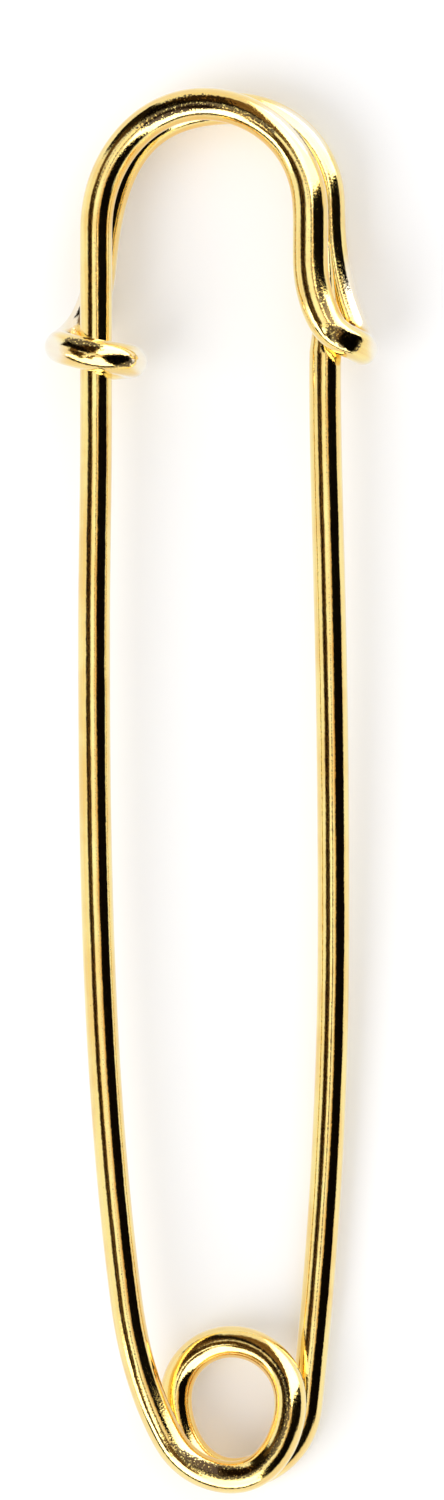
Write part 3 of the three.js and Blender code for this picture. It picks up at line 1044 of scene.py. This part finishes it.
def studio():
    """The studio round the pin. The camera sees it as white, and it lights the table evenly."""
    world = bpy.data.worlds.new("studio")
    world.use_nodes = True
    tree = world.node_tree

    def degrees(operation, *values):
        return maths(tree, "DEGREES", maths(tree, operation, *values))

    def off_from(angle, middle):
        return maths(tree, "SUBTRACT", angle, middle)

    place_now = add_node(tree, "ShaderNodeTexCoord").outputs["Generated"]
    direction = vectors(tree, "NORMALIZE", place_now)
    parts = add_node(tree, "ShaderNodeSeparateXYZ", {0: direction}).outputs
    bearing_now = degrees("ARCTAN2", parts["Y"], parts["X"])
    tilt_now = degrees("ARCCOSINE", parts["Z"])
    across_now = degrees("ARCTAN2", parts["X"], parts["Z"])
    along_now = degrees("ARCTAN2", parts["Y"], parts["Z"])
    given = {"Vector": direction, "Scale": SPECK_SCALE, "Detail": SPECK_DETAIL}
    specks = add_node(tree, "ShaderNodeTexNoise", given).outputs["Fac"]
    speckled = mapped(tree, specks, SPECK_RANGE)

    light = CEILING
    for middle, half, low, high, colour in RAILS.values():
        off = maths(tree, "ABSOLUTE", off_from(across_now, middle))
        share = mapped(tree, off, (half + RAIL_FADE, half - RAIL_FADE))
        for end, way in ((low, 1), (high, -1)):
            limits = (end - way * RAIL_FADE, end + way * RAIL_FADE)
            share = maths(tree, "MULTIPLY", share, mapped(tree, along_now, limits))
        light = mixed(tree, share, light, colour)
    for bearing, (half, half_end), tilts, colour, rough in STUDIO.values():
        start, whole, fading, end = tilts
        off = maths(tree, "WRAP", off_from(bearing_now, bearing), 180.0, -180.0)
        off = maths(tree, "ABSOLUTE", off)
        rising = mapped(tree, tilt_now, (start, whole))
        falling = mapped(tree, tilt_now, (end, fading))
        share = maths(tree, "MULTIPLY", rising, falling)
        share = maths(tree, "MULTIPLY", mapped(tree, off, (half_end, half)), share)
        tone = mixed(tree, speckled, colour, SPECKS) if rough else colour
        light = mixed(tree, share, light, tone)

    path = add_node(tree, "ShaderNodeLightPath").outputs
    light = mixed(tree, path["Is Diffuse Ray"], light, TABLE_LIGHT)
    light = mixed(tree, path["Is Camera Ray"], light, WHITE)
    tree.links.new(light, tree.nodes["Background"].inputs["Color"])
    bpy.context.scene.world = world


def left_lamp():
    """A broad soft lamp at the front left, for the soft shadows that the pin throws right."""
    data = bpy.data.lights.new("left_lamp", "SUN")
    data.energy = LAMP_STRENGTH
    data.angle = math.radians(LAMP_SPREAD)
    lamp = bpy.data.objects.new("left_lamp", data)
    turn = Vector(towards(LAMP_BEARING, LAMP_TILT)).to_track_quat("Z", "Y")
    lamp.rotation_euler = turn.to_euler()
    lamp.visible_glossy = False
    bpy.context.scene.collection.objects.link(lamp)


def table():
    """A plain pale table. Its own glow, for the camera and for mirrors alone, makes it white."""
    finish = bpy.data.materials.new("pale_table")
    finish.use_nodes = True
    tree = finish.node_tree
    shader = tree.nodes["Principled BSDF"]
    shader.inputs["Roughness"].default_value = TABLE_ROUGHNESS
    shader.inputs["Specular IOR Level"].default_value = 0.0
    shader.inputs["Emission Color"].default_value = (*GLOW_COLOUR, 1)
    path = add_node(tree, "ShaderNodeLightPath").outputs
    mirrored = maths(tree, "MAXIMUM", path["Is Glossy Ray"], path["Is Transmission Ray"])
    dimmed = tuple(value * MIRRORED_SHARE for value in TABLE_COLOUR)
    colour = mixed(tree, mirrored, TABLE_COLOUR, dimmed)
    tree.links.new(colour, shader.inputs["Base Color"])
    glow = maths(tree, "MULTIPLY", path["Is Camera Ray"], TABLE_GLOW)
    glow = maths(tree, "ADD", glow, maths(tree, "MULTIPLY", mirrored, MIRRORED_GLOW))
    tree.links.new(glow, shader.inputs["Emission Strength"])
    half = TABLE_HALF_WIDTH
    corners = [(-half, -half, 0), (half, -half, 0), (half, half, 0), (-half, half, 0)]
    mesh = bpy.data.meshes.new("table")
    mesh.from_pydata(corners, [], [(0, 1, 2, 3)])
    mesh.materials.append(finish)
    top = bpy.data.objects.new("table", mesh)
    bpy.context.scene.collection.objects.link(top)


left_lamp()
studio()
table()
bpy.context.scene.view_settings.view_transform = "Standard"
